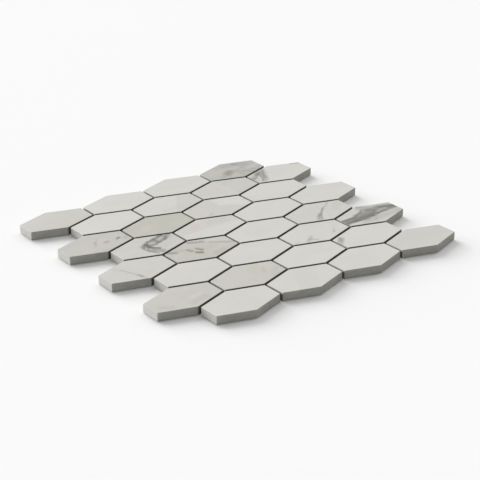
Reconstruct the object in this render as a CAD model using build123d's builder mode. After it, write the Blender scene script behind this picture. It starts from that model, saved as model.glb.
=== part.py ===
"""Sheet of elongated hexagon mosaic: porcelain chips laid in staggered rows on an open glass-fibre mesh.

Millimetres. +Z is up and the sheet lies face up. The origin is at the middle of its underside. Rows run along X,
row 1 is the one furthest towards +Y, and the chips of a row are counted from -X to +X.
"""

from build123d import *
import math
import os

# Chip: a porcelain hexagon drawn out along X, with a blunt end at -X and +X and a tip at -Y and +Y
chip_length = 72.4  # between the two blunt ends
chip_width = 46.4  # from tip to tip
chip_end = 22.6  # width of a blunt end
chip_thickness = 8.5
arris = 0.4  # small flat ground along the edges of the face

# Lay: straight rows, every second one shifted by half a pitch
rows = 8
chips_per_row = 4
joint = 2.6  # open grout joint, square across any two neighbouring edges

# Mesh: one open net glued under the chips, cut straight, inside the notches of the sheet's outline
strand_pitch = 10.0
strand_width = 1.2
mesh_thickness = 0.5
mesh_margin = 4.0  # from the foot of the notches to the cut edge of the mesh

# A flank is one of the four long edges that slope from a tip to a blunt end
flank_slope = (chip_width - chip_end) / chip_length
flank_joint = joint * math.hypot(1, flank_slope)  # the joint between two flanks, measured along Y

# From one chip to the next along a row, and from one row to the next
pitch_x = chip_length + joint
pitch_y = chip_width + flank_joint - flank_slope * pitch_x / 2
row_shift = pitch_x / 2

# What the notches on all four sides leave whole, and the mesh inside that
mesh_length = (chips_per_row - 1) * pitch_x + chip_length - row_shift - 2 * mesh_margin
mesh_width = (rows - 1) * pitch_y + chip_end - 2 * mesh_margin


def chip_centre(row, place):
    """Centre of a chip in the sheet, both counted from 0, so that the staggered rows are centred on the origin."""
    stagger = row_shift / 2 if row % 2 else -row_shift / 2
    x = (place - (chips_per_row - 1) / 2) * pitch_x + stagger
    y = ((rows - 1) / 2 - row) * pitch_y
    return x, y


def make_chip(x, y):
    """One chip: the hexagon, extruded up from the mesh, with its face edges eased."""
    with BuildPart() as chip:
        with BuildSketch(Plane((x, y, mesh_thickness))):
            with BuildLine():
                Polyline(
                    (-chip_length / 2, chip_end / 2),
                    (-chip_length / 2, -chip_end / 2),
                    (0, -chip_width / 2),
                    (chip_length / 2, -chip_end / 2),
                    (chip_length / 2, chip_end / 2),
                    (0, chip_width / 2),
                    close=True,
                )
            make_face()
        extrude(amount=chip_thickness)
        chamfer(chip.faces().sort_by(Axis.Z)[-1].edges(), length=arris)
    return chip.part


def make_mesh_half(side):
    """The half of the mesh on one side of the X axis: its strands lie in one plane and are fused where they cross."""
    half_width = mesh_width / 2
    strands_across = int(mesh_length // strand_pitch)
    strands_along = int(half_width // strand_pitch)
    with BuildPart() as net:
        with BuildSketch():
            with Locations((0, side * half_width / 2)):
                with GridLocations(strand_pitch, 0, strands_across, 1):
                    Rectangle(strand_width, half_width)
            with Locations((0, side * strands_along * strand_pitch / 2)):
                with GridLocations(0, strand_pitch, 1, strands_along):
                    Rectangle(mesh_length, strand_width)
        extrude(amount=mesh_thickness)
    return net.part


os.makedirs("parts", exist_ok=True)

# The chips, a solid each
for row in range(rows):
    for place in range(chips_per_row):
        chip = make_chip(*chip_centre(row, place))
        chip.label = f"chip_row_{row + 1}_{place + 1}"
        export_step(chip, f"parts/{chip.label}.step")

# The mesh, in two halves that meet face to face along the X axis
for half, side in (("mesh_back_half", 1), ("mesh_front_half", -1)):
    net = make_mesh_half(side)
    net.label = half
    export_step(net, f"parts/{net.label}.step")
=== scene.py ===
"""Looks of a sheet of elongated hexagon mosaic: marble-print porcelain chips on a woven glass-fibre net.

Metres throughout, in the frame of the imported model: the sheet lies face up on the floor, +X runs along the
rows of chips, +Y points from row 8 to row 1, and the origin is the middle of the underside.
"""

import logging
import math
from dataclasses import dataclass
from enum import Enum
from typing import Any, Callable, Iterable, Optional

import bpy
from mathutils import Matrix, Quaternion, Vector


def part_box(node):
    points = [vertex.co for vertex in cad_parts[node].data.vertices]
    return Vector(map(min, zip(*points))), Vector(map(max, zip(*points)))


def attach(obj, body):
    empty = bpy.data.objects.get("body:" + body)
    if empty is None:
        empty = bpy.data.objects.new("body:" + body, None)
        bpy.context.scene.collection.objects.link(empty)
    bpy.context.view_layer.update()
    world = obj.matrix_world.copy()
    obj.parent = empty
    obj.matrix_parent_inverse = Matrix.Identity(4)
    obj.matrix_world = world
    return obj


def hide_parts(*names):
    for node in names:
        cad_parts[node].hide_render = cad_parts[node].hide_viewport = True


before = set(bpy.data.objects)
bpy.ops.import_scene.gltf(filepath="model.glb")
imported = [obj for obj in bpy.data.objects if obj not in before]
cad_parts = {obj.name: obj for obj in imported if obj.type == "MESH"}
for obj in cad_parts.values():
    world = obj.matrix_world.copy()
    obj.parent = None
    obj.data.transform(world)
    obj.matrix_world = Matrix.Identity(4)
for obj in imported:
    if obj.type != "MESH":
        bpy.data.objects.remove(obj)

log = logging.getLogger("mosaic_sheet")

MM = 0.001
BODY = "root"

# The middle of the values that a noise gives
NOISE_MIDDLE = 0.5

# What each further stretch of a vein adds to its seed
STRETCH_SEED = 0.37

# Shares of a unit normal that tell the faces of a chip apart
LEVEL = 0.9
EASED = 0.6
UNDERSIDE = -0.3
ENDWAYS = 0.45

Triple = tuple[float, float, float]
Colour = Triple
Point = tuple[float, float]


class Pigment(Enum):
    """The inks of the marble print, as linear colours."""

    ASH = (0.245, 0.240, 0.215)
    SLATE = (0.105, 0.103, 0.092)
    OLIVE = (0.250, 0.235, 0.165)
    UMBER = (0.200, 0.165, 0.115)
    MAUVE = (0.380, 0.330, 0.320)
    BLUSH = (0.600, 0.530, 0.475)
    CREAM = (0.680, 0.665, 0.615)
    MOSS = (0.520, 0.530, 0.430)


class Ground(Enum):
    """The plain grounds that the print is laid on: a light tone, a darker cloud tone and a warm tone."""

    IVORY = ((0.639, 0.631, 0.587), (0.589, 0.580, 0.537), (0.629, 0.605, 0.555))
    CHALK = ((0.598, 0.586, 0.548), (0.548, 0.537, 0.500), (0.595, 0.562, 0.520))
    LINEN = ((0.570, 0.553, 0.512), (0.522, 0.508, 0.466), (0.572, 0.530, 0.487))
    BEIGE = ((0.528, 0.515, 0.471), (0.478, 0.469, 0.424), (0.530, 0.488, 0.445))
    SAGE = ((0.514, 0.505, 0.448), (0.466, 0.463, 0.403), (0.516, 0.475, 0.428))
    SMOKE = ((0.490, 0.484, 0.444), (0.400, 0.402, 0.366), (0.485, 0.450, 0.424))


class Zone(Enum):
    """The material slots of a chip, in the order in which its mesh holds them."""

    GLAZE = 0
    BODY = 1
    BACK = 2
    END = 3
    JOINT_END = 4
    # Walls that face another chip, their body darkened as painted shade
    SHADED_JOINT_BODY = 5


class NodeBench:
    """Sets out the nodes of one tree and joins them."""

    def __init__(self, tree: bpy.types.NodeTree) -> None:
        """Starts on a tree.

        Args:
            tree: The node tree to fill.
        """
        self.tree = tree
        self.placed = 0

    def place(self, kind: str, inputs: Optional[dict[str, Any]] = None, **settings: Any) -> bpy.types.Node:
        """Adds a node, with its settings and its inputs.

        Args:
            kind: The node's type name.
            inputs: What each named input holds: a value, or the output socket that feeds it.
            **settings: Attributes of the node, set before its inputs.

        Returns:
            The new node.
        """
        node = self.tree.nodes.new(kind)
        node.location = (220 * (self.placed % 12), -260 * (self.placed // 12))
        self.placed += 1
        for name, value in settings.items():
            setattr(node, name, value)
        for name, value in (inputs or {}).items():
            self.feed(node, name, value)
        return node

    def feed(self, node: bpy.types.Node, name: str, value: Any) -> None:
        """Sets one input of a node, or links it.

        Args:
            node: The node.
            name: The input's name.
            value: A plain value, or an output socket.
        """
        socket = next(s for s in node.inputs if s.name == name and s.enabled)
        if isinstance(value, bpy.types.NodeSocket):
            self.tree.links.new(value, socket)
        elif socket.type == "RGBA" and len(value) == 3:
            socket.default_value = (*value, 1.0)
        else:
            socket.default_value = value

    @staticmethod
    def out(node: bpy.types.Node, name: str) -> bpy.types.NodeSocket:
        """The named output that the node's settings leave in use."""
        return next(s for s in node.outputs if s.name == name and s.enabled)

    def fill(self, kind: str, operation: str, values: Iterable[Any]) -> bpy.types.Node:
        """Adds a node of arithmetic.

        Args:
            kind: The node's type name.
            operation: Its operation.
            values: What its inputs hold, in their order: values, or the output sockets that feed them.

        Returns:
            The new node.
        """
        node = self.place(kind, operation=operation)
        for socket, value in zip(node.inputs, values):
            if isinstance(value, bpy.types.NodeSocket):
                self.tree.links.new(value, socket)
            else:
                socket.default_value = value
        return node

    def sum_up(self, operation: str, *values: Any) -> bpy.types.NodeSocket:
        """The result of a Math node's operation on values or sockets."""
        return self.fill("ShaderNodeMath", operation, values).outputs["Value"]

    def times(self, first: Any, second: Any) -> bpy.types.NodeSocket:
        """The product of two values."""
        return self.sum_up("MULTIPLY", first, second)

    def times_plus(self, first: Any, second: Any, third: Any) -> bpy.types.NodeSocket:
        """The product of the first two values, with the third one added."""
        return self.sum_up("MULTIPLY_ADD", first, second, third)

    def vector_step(self, operation: str, first: Any, second: Any) -> bpy.types.NodeSocket:
        """The result of a Vector Math node's operation on two vectors or sockets."""
        return self.fill("ShaderNodeVectorMath", operation, (first, second)).outputs["Vector"]

    def split(self, vector: Any) -> dict[str, bpy.types.NodeSocket]:
        """The three parts of a vector, by axis."""
        node = self.place("ShaderNodeSeparateXYZ", {"Vector": vector})
        return {axis: node.outputs[axis] for axis in "XYZ"}

    def mapped(self, vector: Any, kind: str = "POINT", **inputs: Any) -> bpy.types.NodeSocket:
        """Coordinates that a Mapping node of one kind has moved, turned or scaled, by its inputs' names."""
        node = self.place("ShaderNodeMapping", {"Vector": vector, **inputs}, vector_type=kind)
        return node.outputs["Vector"]

    def ramp(
        self, value: Any, low: Any, high: float, start: float = 0.0, stop: float = 1.0
    ) -> bpy.types.NodeSocket:
        """A soft step from start to stop while the value goes from low to high.

        Args:
            value: The socket that is read.
            low: Where the step begins.
            high: Where it ends.
            start: What it gives up to low.
            stop: What it gives from high on.

        Returns:
            The step's socket.
        """
        node = self.place(
            "ShaderNodeMapRange",
            {"Value": value, "From Min": low, "From Max": high, "To Min": start, "To Max": stop},
            interpolation_type="SMOOTHSTEP",
        )
        return node.outputs["Result"]

    def fade(self, value: Any, low: Any, high: float) -> bpy.types.NodeSocket:
        """A soft step down from 1 to 0 while the value goes from low to high."""
        return self.ramp(value, low, high, 1.0, 0.0)

    def blend(self, amount: Any, below: Any, above: Any, kind: str = "RGBA") -> bpy.types.NodeSocket:
        """Lays one colour or value over another.

        Args:
            amount: How much of the upper one shows.
            below: The lower one.
            above: The upper one.
            kind: RGBA for colours, FLOAT for values.

        Returns:
            The mixture's socket.
        """
        node = self.place("ShaderNodeMix", {"Factor": amount, "A": below, "B": above}, data_type=kind)
        return self.out(node, "Result")

    def noise(
        self, where: Any, scale: float, detail: float = 2.0, seed: Any = 0.0, **more: Any
    ) -> bpy.types.NodeSocket:
        """A four-dimensional noise, from 0 to 1.

        Args:
            where: The vector that it reads.
            scale: Features for each unit.
            detail: Octaves.
            seed: Its fourth coordinate.
            **more: Other inputs of the node, by name.

        Returns:
            The noise's value.
        """
        inputs = {"Vector": where, "Scale": scale, "Detail": detail, "W": seed}
        inputs.update({name.capitalize(): value for name, value in more.items()})
        return self.place("ShaderNodeTexNoise", inputs, noise_dimensions="4D").outputs[0]


SOCKETS = {"value": "NodeSocketFloat", "vector": "NodeSocketVector", "colour": "NodeSocketColor"}


@dataclass(frozen=True)
class Effect:
    """A shader node group that several materials place, each with its own values.

    Attributes:
        name: The group's name.
        takes: Its inputs and their kinds.
        gives: Its outputs and their kinds.
        wire: Fills the group, from its bench and the sockets of its inputs by name.
    """

    name: str
    takes: dict[str, str]
    gives: dict[str, str]
    wire: Callable[[NodeBench, dict[str, Any]], dict[str, Any]]

    def group(self) -> bpy.types.NodeTree:
        """Builds the node group, the first time that it is asked for.

        Returns:
            The group.
        """
        known = bpy.data.node_groups.get(self.name)
        if known:
            return known
        tree = bpy.data.node_groups.new(self.name, "ShaderNodeTree")
        for name, kind in self.takes.items():
            tree.interface.new_socket(name, in_out="INPUT", socket_type=SOCKETS[kind])
        for name, kind in self.gives.items():
            tree.interface.new_socket(name, in_out="OUTPUT", socket_type=SOCKETS[kind])
        bench = NodeBench(tree)
        given = {socket.name: socket for socket in bench.place("NodeGroupInput").outputs}
        bench.place("NodeGroupOutput", self.wire(bench, given))
        return tree

    def use(self, bench: NodeBench, **inputs: Any) -> bpy.types.Node:
        """Places the group in a material.

        Args:
            bench: The material's bench.
            **inputs: The group's inputs, with underscores for the spaces in their names.

        Returns:
            The group's node.
        """
        named = {name.replace("_", " "): value for name, value in inputs.items()}
        return bench.place("ShaderNodeGroup", named, node_tree=self.group())


def wire_drift(bench: NodeBench, given: dict[str, Any]) -> dict[str, Any]:
    """How far the ink has bled at each point: a coarse and a fine push, with X, Y, Z as red, green, blue.

    Args:
        bench: The group's bench.
        given: The sockets of the group's inputs, by name.

    Returns:
        What feeds each of the group's outputs, by name.
    """
    pushes = []
    for scale, detail, share in ((62.0, 1.0, 1.0), (310.0, 3.0, 0.35)):
        inputs = {"Vector": given["Vector"], "W": given["Seed"], "Scale": scale, "Detail": detail}
        noise = bench.place("ShaderNodeTexNoise", inputs, noise_dimensions="4D")
        centred = bench.vector_step("SUBTRACT", noise.outputs["Color"], (NOISE_MIDDLE,) * 3)
        pushes.append(bench.vector_step("MULTIPLY", centred, bench.times(given["Reach"], share)))
    return {"Push": bench.vector_step("ADD", *pushes)}


def wire_clouds(bench: NodeBench, given: dict[str, Any]) -> dict[str, Any]:
    """Soft clouds of the print's ground, drawn out along one diagonal.

    Args:
        bench: The group's bench.
        given: The sockets of the group's inputs, by name.

    Returns:
        What feeds each of the group's outputs, by name.
    """
    diagonal = (0.0, 0.0, math.radians(-38))
    drawn_out = bench.mapped(given["Vector"], Rotation=diagonal, Scale=(1.0, 2.3, 1.0))
    seed = given["Seed"]
    broad = bench.noise(drawn_out, 15.0, 2.0, seed, distortion=0.8)
    mottle = bench.noise(drawn_out, 70.0, 5.0, seed, roughness=0.6)
    warm = bench.noise(drawn_out, 21.0, 1.0, bench.sum_up("ADD", seed, 7.3))
    cloudy = bench.times_plus(mottle, 0.35, broad)
    amount = bench.times(bench.ramp(cloudy, 0.52, 0.86), given["Amount"])
    tone = bench.blend(amount, given["Light"], given["Dark"])
    warmth = bench.times(bench.ramp(warm, 0.5, 0.72), given["Warmth"])
    return {"Colour": bench.blend(warmth, tone, given["Warm"])}


def wire_stroke(bench: NodeBench, given: dict[str, Any]) -> dict[str, Any]:
    """One stroke of ink: a soft wash that the grain opens, with darker threads wandering along it.

    Args:
        bench: The group's bench.
        given: The sockets of the group's inputs, by name.

    Returns:
        What feeds each of the group's outputs, by name.
    """
    parts = bench.split(given["Vector"])
    along = bench.sum_up("ABSOLUTE", parts["X"])
    across = bench.sum_up("ABSOLUTE", parts["Y"])
    tips = bench.fade(along, given["Tip"], 1.0)
    body = bench.times(tips, bench.fade(across, given["Side"], 1.0))
    grain = bench.noise(given["Place"], 290.0, 4.0, given["Seed"], roughness=0.66)
    kept = bench.sum_up("SUBTRACT", 1.0, given["Breakup"])
    patchy = bench.times_plus(bench.ramp(grain, 0.36, 0.62), given["Breakup"], kept)
    wash = bench.times(body, patchy)
    drawn_out = bench.mapped(given["Vector"], Scale=(1.1, 1.5, 1.0))
    wander = bench.noise(drawn_out, 1.0, 4.0, given["Seed"], roughness=0.55)
    off_thread = bench.sum_up("ABSOLUTE", bench.sum_up("SUBTRACT", wander, NOISE_MIDDLE))
    thread = bench.fade(off_thread, 0.0, 0.07)
    threads = bench.times(thread, bench.times(tips, bench.fade(across, 0.35, 0.95)))
    inked = bench.times_plus(threads, given["Threads"], wash)
    return {"Mask": bench.times(inked, given["Strength"])}


def wire_skin(bench: NodeBench, given: dict[str, Any]) -> dict[str, Any]:
    """The matt glaze's skin: faint orange peel, fine tooth and a few pinholes.

    Args:
        bench: The group's bench.
        given: The sockets of the group's inputs, by name.

    Returns:
        What feeds each of the group's outputs, by name.
    """
    where = given["Vector"]
    peel = bench.noise(where, 420.0, 2.0)
    tooth = bench.noise(where, 2600.0, 2.0)
    pores = bench.place("ShaderNodeTexVoronoi", {"Vector": where, "Scale": 260.0, "Randomness": 1.0})
    pinhole = bench.ramp(pores.outputs["Distance"], 0.03, 0.07)
    height = bench.times_plus(tooth, 0.25, peel)
    height = bench.times_plus(pinhole, 0.4, height)
    sheen = bench.times_plus(bench.noise(where, 90.0, 3.0), 0.14, given["Roughness"])
    return {"Roughness": sheen, "Height": height}


def wire_arris_highlight(bench: NodeBench, given: dict[str, Any]) -> dict[str, Any]:
    """A painted edge highlight: a lighter tone on the rounded arris, patchy where the glaze thins over the
    edge.

    Args:
        bench: The group's bench.
        given: The sockets of the group's inputs, by name.

    Returns:
        What feeds each of the group's outputs, by name.
    """
    normal = bench.place("ShaderNodeNewGeometry").outputs["Normal"]
    up = bench.split(normal)["Z"]
    rounded = bench.times(bench.ramp(up, 0.08, 0.3), bench.fade(up, 0.9, 0.995))
    uneven = bench.ramp(bench.noise(given["Vector"], 240.0, 3.0), 0.3, 0.65, 0.25, 1.0)
    # Painted highlight, patchy along the edge
    patchy_highlight = bench.times(rounded, uneven)
    return {"Mask": bench.times(patchy_highlight, given["Strength"])}


def wire_body(bench: NodeBench, given: dict[str, Any]) -> dict[str, Any]:
    """Fired porcelain body: fine grain, dark specks, faint press lines, and darker towards its foot.

    Args:
        bench: The group's bench.
        given: The sockets of the group's inputs, by name.

    Returns:
        What feeds each of the group's outputs, by name.
    """
    where = given["Vector"]
    grain = bench.noise(where, 1500.0, 3.0)
    cloud = bench.noise(where, 130.0, 3.0)
    lines = bench.noise(bench.mapped(where, Scale=(1.0, 1.0, 0.12)), 900.0, 2.0)
    specks = bench.place("ShaderNodeTexVoronoi", {"Vector": where, "Scale": 900.0, "Randomness": 1.0})
    speck = bench.fade(specks.outputs["Distance"], 0.07, 0.16)
    # Darker towards the foot of the wall
    foot = bench.fade(bench.split(where)["Z"], 0.4 * MM, 3.5 * MM)
    tone = bench.times_plus(cloud, 0.5, bench.times(grain, 0.3))
    tone = bench.times_plus(lines, 0.2, tone)
    mixed = bench.blend(bench.ramp(tone, 0.3, 0.7), given["Light"], given["Dark"])
    mixed = bench.blend(bench.times(speck, 0.35), mixed, given["Speck"])
    mixed = bench.blend(bench.times(foot, 0.22), mixed, given["Dark"])
    height = bench.times_plus(lines, 0.5, grain)
    height = bench.times_plus(speck, -0.8, height)
    return {"Colour": mixed, "Roughness": bench.ramp(cloud, 0.3, 0.7, 0.72, 0.88), "Height": height}


def wire_glaze_run(bench: NodeBench, given: dict[str, Any]) -> dict[str, Any]:
    """How far down from the face the glaze runs over a wall, with a ragged edge.

    Args:
        bench: The group's bench.
        given: The sockets of the group's inputs, by name.

    Returns:
        What feeds each of the group's outputs, by name.
    """
    height_up = bench.split(given["Vector"])["Z"]
    ragged = bench.times_plus(bench.noise(given["Vector"], 420.0, 3.0), 1.2 * MM, height_up)
    low = bench.sum_up("SUBTRACT", given["Face"], given["Depth"])
    past = bench.sum_up("SUBTRACT", ragged, low)
    return {"Mask": bench.ramp(past, 0.3 * MM, 0.9 * MM)}


def wire_yarn(bench: NodeBench, given: dict[str, Any]) -> dict[str, Any]:
    """Filaments of a glass-fibre yarn, drawn out along it, under a thin resin.

    Args:
        bench: The group's bench.
        given: The sockets of the group's inputs, by name.

    Returns:
        What feeds each of the group's outputs, by name.
    """
    strand = bench.noise(bench.mapped(given["Vector"], Scale=given["Fineness"]), 1.0, 3.0)
    resin = bench.noise(given["Vector"], 160.0, 2.0)
    tone = bench.times_plus(resin, 0.4, bench.times(strand, 0.6))
    return {
        "Colour": bench.blend(bench.ramp(tone, 0.3, 0.7), given["Dark"], given["Light"]),
        "Roughness": bench.ramp(resin, 0.35, 0.65, 0.32, 0.6),
        "Height": strand,
    }


def wire_glue(bench: NodeBench, given: dict[str, Any]) -> dict[str, Any]:
    """The film of glue that holds a chip to the net: spread along the strands, in beads at their crossings.

    Args:
        bench: The group's bench.
        given: The sockets of the group's inputs, by name.

    Returns:
        What feeds each of the group's outputs, by name.
    """
    parts = bench.split(given["Vector"])
    half_pitch = bench.times(given["Pitch"], 0.5)
    less_half = bench.times(given["Pitch"], -0.5)

    def off_strand(axis: str, shift: Any) -> bpy.types.NodeSocket:
        """How far a point lies from the nearest strand across the axis."""
        moved = bench.sum_up("ADD", parts[axis], shift)
        return bench.sum_up("ABSOLUTE", bench.sum_up("WRAP", moved, half_pitch, less_half))

    def past_edge(axis: str) -> bpy.types.NodeSocket:
        """How far a point lies past the net's cut edge across the axis."""
        away = bench.sum_up("ABSOLUTE", parts[axis])
        return bench.sum_up("SUBTRACT", away, given[f"Edge {axis}"])

    smear = bench.noise(given["Vector"], 240.0, 3.0)
    nearest = bench.sum_up("MINIMUM", off_strand("X", 0.0), off_strand("Y", given["Shift"]))
    ragged = bench.times_plus(smear, 2.6 * MM, nearest)
    spread = bench.fade(ragged, 1.9 * MM, 2.7 * MM)
    past = bench.sum_up("MAXIMUM", past_edge("X"), past_edge("Y"))
    film = bench.times(spread, bench.fade(past, -0.4 * MM, 0.8 * MM))
    return {"Mask": film, "Height": bench.times_plus(smear, 0.3, film)}


DRIFT = Effect(
    "ink_drift", {"Vector": "vector", "Seed": "value", "Reach": "value"}, {"Push": "colour"}, wire_drift
)
CLOUDS = Effect(
    "ground_clouds",
    {"Vector": "vector", "Seed": "value", "Light": "colour", "Dark": "colour", "Warm": "colour",
     "Amount": "value", "Warmth": "value"},
    {"Colour": "colour"},
    wire_clouds,
)
STROKE = Effect(
    "ink_stroke",
    {"Vector": "vector", "Place": "vector", "Seed": "value", "Tip": "value", "Side": "value",
     "Breakup": "value", "Threads": "value", "Strength": "value"},
    {"Mask": "value"},
    wire_stroke,
)
SKIN = Effect(
    "glaze_skin",
    {"Vector": "vector", "Roughness": "value"},
    {"Roughness": "value", "Height": "value"},
    wire_skin,
)
# Painted edge highlight: a lighter tone on the rounded arris
ARRIS_HIGHLIGHT = Effect("arris_painted_highlight", {"Vector": "vector", "Strength": "value"}, {"Mask": "value"}, wire_arris_highlight)
FIRED_BODY = Effect(
    "fired_body",
    {"Vector": "vector", "Light": "colour", "Dark": "colour", "Speck": "colour"},
    {"Colour": "colour", "Roughness": "value", "Height": "value"},
    wire_body,
)
GLAZE_RUN = Effect(
    "glaze_run", {"Vector": "vector", "Face": "value", "Depth": "value"}, {"Mask": "value"}, wire_glaze_run
)
YARN = Effect(
    "glass_yarn",
    {"Vector": "vector", "Fineness": "vector", "Light": "colour", "Dark": "colour"},
    {"Colour": "colour", "Roughness": "value", "Height": "value"},
    wire_yarn,
)
GLUE = Effect(
    "glue_film",
    {"Vector": "vector", "Pitch": "value", "Shift": "value", "Edge X": "value", "Edge Y": "value"},
    {"Mask": "value", "Height": "value"},
    wire_glue,
)


class FinishBench(NodeBench):
    """The bench of one material, which starts with its surface shader and its Object coordinates."""

    def __init__(self, name: str) -> None:
        """Starts a material.

        Args:
            name: The material's name.
        """
        self.material = bpy.data.materials.new(name)
        self.material.use_nodes = True
        self.material.node_tree.nodes.clear()
        super().__init__(self.material.node_tree)
        self.shader = self.place("ShaderNodeBsdfPrincipled")
        self.place("ShaderNodeOutputMaterial", {"Surface": self.shader.outputs["BSDF"]})
        self.where = self.place("ShaderNodeTexCoord").outputs["Object"]

    def dress(self, colour: Any, roughness: Any, height: Any, depth: float) -> bpy.types.Material:
        """Gives the shader its colour, its roughness and its relief.

        Args:
            colour: The colour's socket.
            roughness: The roughness's socket.
            height: The relief's socket.
            depth: The relief's depth in metres.

        Returns:
            The material.
        """
        bump = self.place("ShaderNodeBump", {"Height": height, "Distance": depth, "Strength": 1.0})
        self.feed(self.shader, "Base Color", colour)
        self.feed(self.shader, "Roughness", roughness)
        self.feed(self.shader, "Normal", bump.outputs["Normal"])
        return self.material


@dataclass(frozen=True)
class Vein:
    """One vein of the print, in millimetres from the middle of its chip.

    Attributes:
        points: The points that it runs through.
        width: Its whole width, fading sides included.
        ink: Its pigment.
        strength: How dark its wash is, up to 1.
        threads: How much darker its threads are.
        breakup: How much the grain opens its wash, up to 1.
        edge: The share of its half width that fades out.
    """

    points: tuple[Point, ...]
    width: float
    ink: Pigment = Pigment.ASH
    strength: float = 0.6
    threads: float = 0.4
    breakup: float = 0.5
    edge: float = 0.85

    def mask(self, bench: FinishBench, drifting: Any, centre: Vector, seed: float) -> bpy.types.NodeSocket:
        """Where the vein lies on its chip.

        Args:
            bench: The material's bench.
            drifting: The drifting coordinates that it is drawn in; its grain reads the plain ones.
            centre: The chip's middle.
            seed: The chip's seed.

        Returns:
            The vein's mask.
        """
        whole = None
        for count, (start, end) in enumerate(zip(self.points, self.points[1:])):
            length = math.dist(start, end) + self.width
            stroke = STROKE.use(
                bench,
                Vector=self._own_frame(bench, drifting, centre, start, end),
                Place=bench.where,
                Seed=seed + STRETCH_SEED * count,
                Tip=1.0 - self.edge * self.width / length,
                Side=1.0 - self.edge,
                Breakup=self.breakup,
                Threads=self.threads,
                Strength=self.strength,
            ).outputs["Mask"]
            whole = stroke if whole is None else bench.sum_up("MAXIMUM", whole, stroke)
        return whole

    def _own_frame(
        self, bench: NodeBench, where: Any, centre: Vector, start: Point, end: Point
    ) -> bpy.types.NodeSocket:
        """Coordinates that run from -1 to 1 along one stretch of the vein, and from -1 to 1 across it.

        Args:
            bench: The material's bench.
            where: The coordinates that are brought into the stretch's frame.
            centre: The chip's middle.
            start: The stretch's first point.
            end: Its last point.

        Returns:
            The coordinates' socket.
        """
        run = Vector((end[0] - start[0], end[1] - start[1]))
        middle = Vector(((end[0] + start[0]) / 2, (end[1] + start[1]) / 2, 0.0)) * MM
        return bench.mapped(
            where,
            "TEXTURE",
            Location=tuple(Vector((centre.x, centre.y, 0.0)) + middle),
            Rotation=(0.0, 0.0, math.atan2(run.y, run.x)),
            Scale=((run.length + self.width) * MM / 2, self.width * MM / 2, 1.0),
        )


@dataclass(frozen=True)
class MarblePrint:
    """The glaze of one chip: its ground, its clouds and its veins.

    Attributes:
        ground: The ground's tones.
        veins: Its strokes, the lowest first.
        clouds: How much the clouds show.
        warmth: How much the warm tone shows.
        reach: How far the ink drifts, in millimetres.
        roughness: The glaze's roughness.
        arris_highlight: How much a lighter tone, a painted edge highlight, shows on the arris where the
            glaze thins.
        highlight_tone: That tone.
        relief: Depth of the glaze's skin.
    """

    ground: Ground = Ground.IVORY
    veins: tuple[Vein, ...] = ()
    clouds: float = 0.5
    warmth: float = 0.35
    reach: float = 2.4
    roughness: float = 0.40
    arris_highlight: float = 0.2
    # The lighter tone of the painted edge highlight
    highlight_tone: Colour = (0.68, 0.67, 0.63)
    relief: float = 0.02 * MM

    def make(self, name: str, centre: Vector, seed: float) -> bpy.types.Material:
        """Makes the chip's glaze.

        Args:
            name: The material's name.
            centre: The chip's middle.
            seed: A number that is the chip's own.

        Returns:
            The material.
        """
        bench = FinishBench(name)
        where = bench.where
        light, dark, warm = self.ground.value
        colour = CLOUDS.use(
            bench,
            Vector=where,
            Seed=seed,
            Light=light,
            Dark=dark,
            Warm=warm,
            Amount=self.clouds,
            Warmth=self.warmth,
        ).outputs["Colour"]
        if self.veins:
            push = DRIFT.use(bench, Vector=where, Seed=seed, Reach=self.reach * MM).outputs["Push"]
            drifting = bench.vector_step("ADD", where, push)
            for vein in self.veins:
                colour = bench.blend(vein.mask(bench, drifting, centre, seed), colour, vein.ink.value)
        # Painted edge highlight: the lighter tone on the rounded arris
        thin = ARRIS_HIGHLIGHT.use(bench, Vector=where, Strength=self.arris_highlight).outputs["Mask"]
        colour = bench.blend(thin, colour, self.highlight_tone)
        skin = SKIN.use(bench, Vector=where, Roughness=self.roughness).outputs
        return bench.dress(colour, skin["Roughness"], skin["Height"], self.relief)


def patch(points: tuple[Point, ...], width: float, ink: Pigment, strength: float, edge: float = 0.5) -> Vein:
    """A broad, even patch of ink, without threads and hardly opened by the grain.

    Args:
        points: The points that it runs through.
        width: Its whole width.
        ink: Its pigment.
        strength: How strong it is.
        edge: The share of its half width that fades out.

    Returns:
        The patch.
    """
    return Vein(points, width, ink, strength, threads=0.0, breakup=0.12, edge=edge)


# The pigments by their own names, in the order in which they are listed
ASH, SLATE, OLIVE, UMBER, MAUVE, BLUSH, CREAM, MOSS = Pigment

PLAIN = MarblePrint()

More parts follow.
